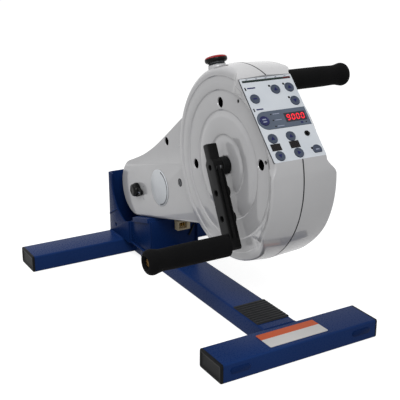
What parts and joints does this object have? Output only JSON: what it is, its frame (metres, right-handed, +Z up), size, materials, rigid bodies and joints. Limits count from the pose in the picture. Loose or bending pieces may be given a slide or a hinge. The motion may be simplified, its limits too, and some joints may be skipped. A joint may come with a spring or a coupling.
{
  "type": "active passive trainer",
  "caption": "Motor-driven crank trainer for arms or legs: a round white drive head with a sloping console, foam grips and a blue tube base",
  "frame": {"origin": "middle of the object's outer box in X and Y, on the floor it stands on", "axes": "+Y from the console to the rear foot, +Z up, +X to the right seen from the console looking along +Y"},
  "size_m": [0.4666, 0.5674, 0.4225],
  "materials": {
    "blue_enamel": "glossy blue powder-coated steel",
    "white_shell": "warm white moulded plastic with a fine satin texture",
    "panel_white": "pale blue-white satin overlay film",
    "slate": "slate grey satin film",
    "navy": "dark navy key cap",
    "black_plastic": "black moulded plastic",
    "crank_metal": "black anodised crank extrusion",
    "foam": "black closed-cell foam",
    "steel": "turned bright steel",
    "brass": "plain brass nut",
    "stop_red": "red moulded mushroom cap",
    "stop_collar": "grey collar",
    "cream": "cream connector shell",
    "grip_patch": "black ribbed anti-slip sheet",
    "strip_film": "orange and white film",
    "board_green": "green laminate",
    "belt_rubber": "black belt"
  },
  "bodies": {
    "root": {"front_foot": "blue_enamel", "rear_foot": "blue_enamel", "main_beam": "blue_enamel", "front_foot_cap_left": "black_plastic", "front_foot_cap_right": "black_plastic", "rear_foot_cap_left": "black_plastic", "rear_foot_cap_right": "black_plastic", "bracket_left_side": "blue_enamel", "bracket_right_side": "blue_enamel", "bracket_front": "blue_enamel", "bracket_back": "blue_enamel", "bracket_floor": "blue_enamel", "saddle_plate": "blue_enamel", "saddle_bolt_front": "steel", "saddle_bolt_rear": "steel", "lead_socket": "cream", "bracket_pin": "black_plastic", "anti_slip_patch": "grip_patch", "two_tone_strip": "strip_film", "left_housing": "white_shell", "right_housing": "white_shell", "console_panel": "panel_white", "display_lens": "slate", "led_bar": "black_plastic", "jack_socket": "black_plastic", "circuit_board": "board_green", "badge": "panel_white", "stop_collar": "stop_collar", "stop_contact_block": "black_plastic", "dial_potentiometer": "black_plastic", "drive_motor": "steel", "drive_belt": "belt_rubber", "left_bearing": "steel", "right_bearing": "steel"},
    "crank": {"crank_shaft": "steel", "crank_pulley": "crank_metal", "left_arm": "crank_metal", "right_arm": "crank_metal", "left_hub": "black_plastic", "right_hub": "black_plastic", "left_spindle": "steel", "right_spindle": "steel", "left_nut": "brass", "right_nut": "brass"},
    "left_grip_roll": {"left_grip": "foam"},
    "right_grip_roll": {"right_grip": "foam"},
    "motor_rotor": {"motor_pulley": "steel"},
    "stop_plunger": {"stop_button_stem": "black_plastic"},
    "stop_head": {"stop_button_cap": "stop_red"},
    "dial": {"speed_dial": "black_plastic"},
    "key_upper_left": {"key_upper_left": "slate"},
    "key_upper_centre": {"key_upper_centre": "slate"},
    "key_top_right": {"key_top_right": "slate"},
    "key_upper_right": {"key_upper_right": "slate"},
    "key_display": {"key_display": "navy"},
    "key_lower_left": {"key_lower_left": "slate"},
    "key_lower_centre": {"key_lower_centre": "slate"},
    "key_bottom_left": {"key_bottom_left": "slate"},
    "key_bottom_centre": {"key_bottom_centre": "slate"},
    "key_bottom_right": {"key_bottom_right": "slate"}
  },
  "joints": [
    {"name": "crank_turn", "type": "hinge", "parent": "root", "child": "crank", "pos_m": [0, -0.1367, 0.268], "axis": [1, 0, 0], "continuous": true},
    {"name": "left_grip_spin", "type": "hinge", "parent": "crank", "child": "left_grip_roll", "pos_m": [-0.14235, -0.18733, 0.16419], "axis": [1, 0, 0], "continuous": true},
    {"name": "right_grip_spin", "type": "hinge", "parent": "crank", "child": "right_grip_roll", "pos_m": [0.14235, -0.08607, 0.37181], "axis": [1, 0, 0], "continuous": true},
    {"name": "motor_spin", "type": "hinge", "parent": "root", "child": "motor_rotor", "pos_m": [0, 0.1227, 0.168], "axis": [1, 0, 0], "continuous": true},
    {"name": "stop_press", "type": "slide", "parent": "root", "child": "stop_plunger", "axis": [0, -0.3584, -0.9336], "range_m": [0, 0.004], "stiffness_N_per_m": 1500, "springref_m": -0.004},
    {"name": "stop_twist", "type": "hinge", "parent": "stop_plunger", "child": "stop_head", "pos_m": [-0.0325, -0.08391, 0.40552], "axis": [0, -0.3584, -0.9336], "range_deg": [0, 45], "stiffness_Nm_per_rad": 0.05},
    {"name": "dial_turn", "type": "hinge", "parent": "root", "child": "dial", "pos_m": [-0.037, 0.1847, 0.138], "axis": [-1, 0, 0], "range_deg": [-135, 135]},
    {"name": "key_upper_left_press", "type": "slide", "parent": "root", "child": "key_upper_left", "axis": [0, 0.7314, -0.682], "range_m": [0, 0.0008], "stiffness_N_per_m": 600, "springref_m": -0.002},
    {"name": "key_upper_centre_press", "type": "slide", "parent": "root", "child": "key_upper_centre", "axis": [0, 0.7314, -0.682], "range_m": [0, 0.0008], "stiffness_N_per_m": 600, "springref_m": -0.002},
    {"name": "key_top_right_press", "type": "slide", "parent": "root", "child": "key_top_right", "axis": [0, 0.7314, -0.682], "range_m": [0, 0.0008], "stiffness_N_per_m": 600, "springref_m": -0.002},
    {"name": "key_upper_right_press", "type": "slide", "parent": "root", "child": "key_upper_right", "axis": [0, 0.7314, -0.682], "range_m": [0, 0.0008], "stiffness_N_per_m": 600, "springref_m": -0.002},
    {"name": "key_display_press", "type": "slide", "parent": "root", "child": "key_display", "axis": [0, 0.7314, -0.682], "range_m": [0, 0.0008], "stiffness_N_per_m": 600, "springref_m": -0.002},
    {"name": "key_lower_left_press", "type": "slide", "parent": "root", "child": "key_lower_left", "axis": [0, 0.7314, -0.682], "range_m": [0, 0.0008], "stiffness_N_per_m": 600, "springref_m": -0.002},
    {"name": "key_lower_centre_press", "type": "slide", "parent": "root", "child": "key_lower_centre", "axis": [0, 0.7314, -0.682], "range_m": [0, 0.0008], "stiffness_N_per_m": 600, "springref_m": -0.002},
    {"name": "key_bottom_left_press", "type": "slide", "parent": "root", "child": "key_bottom_left", "axis": [0, 0.7314, -0.682], "range_m": [0, 0.0008], "stiffness_N_per_m": 600, "springref_m": -0.002},
    {"name": "key_bottom_centre_press", "type": "slide", "parent": "root", "child": "key_bottom_centre", "axis": [0, 0.7314, -0.682], "range_m": [0, 0.0008], "stiffness_N_per_m": 600, "springref_m": -0.002},
    {"name": "key_bottom_right_press", "type": "slide", "parent": "root", "child": "key_bottom_right", "axis": [0, 0.7314, -0.682], "range_m": [0, 0.0008], "stiffness_N_per_m": 600, "springref_m": -0.002}
  ],
  "couplings": [
    {"joint": "motor_spin", "follows": "crank_turn", "ratio": 5}
  ]
}
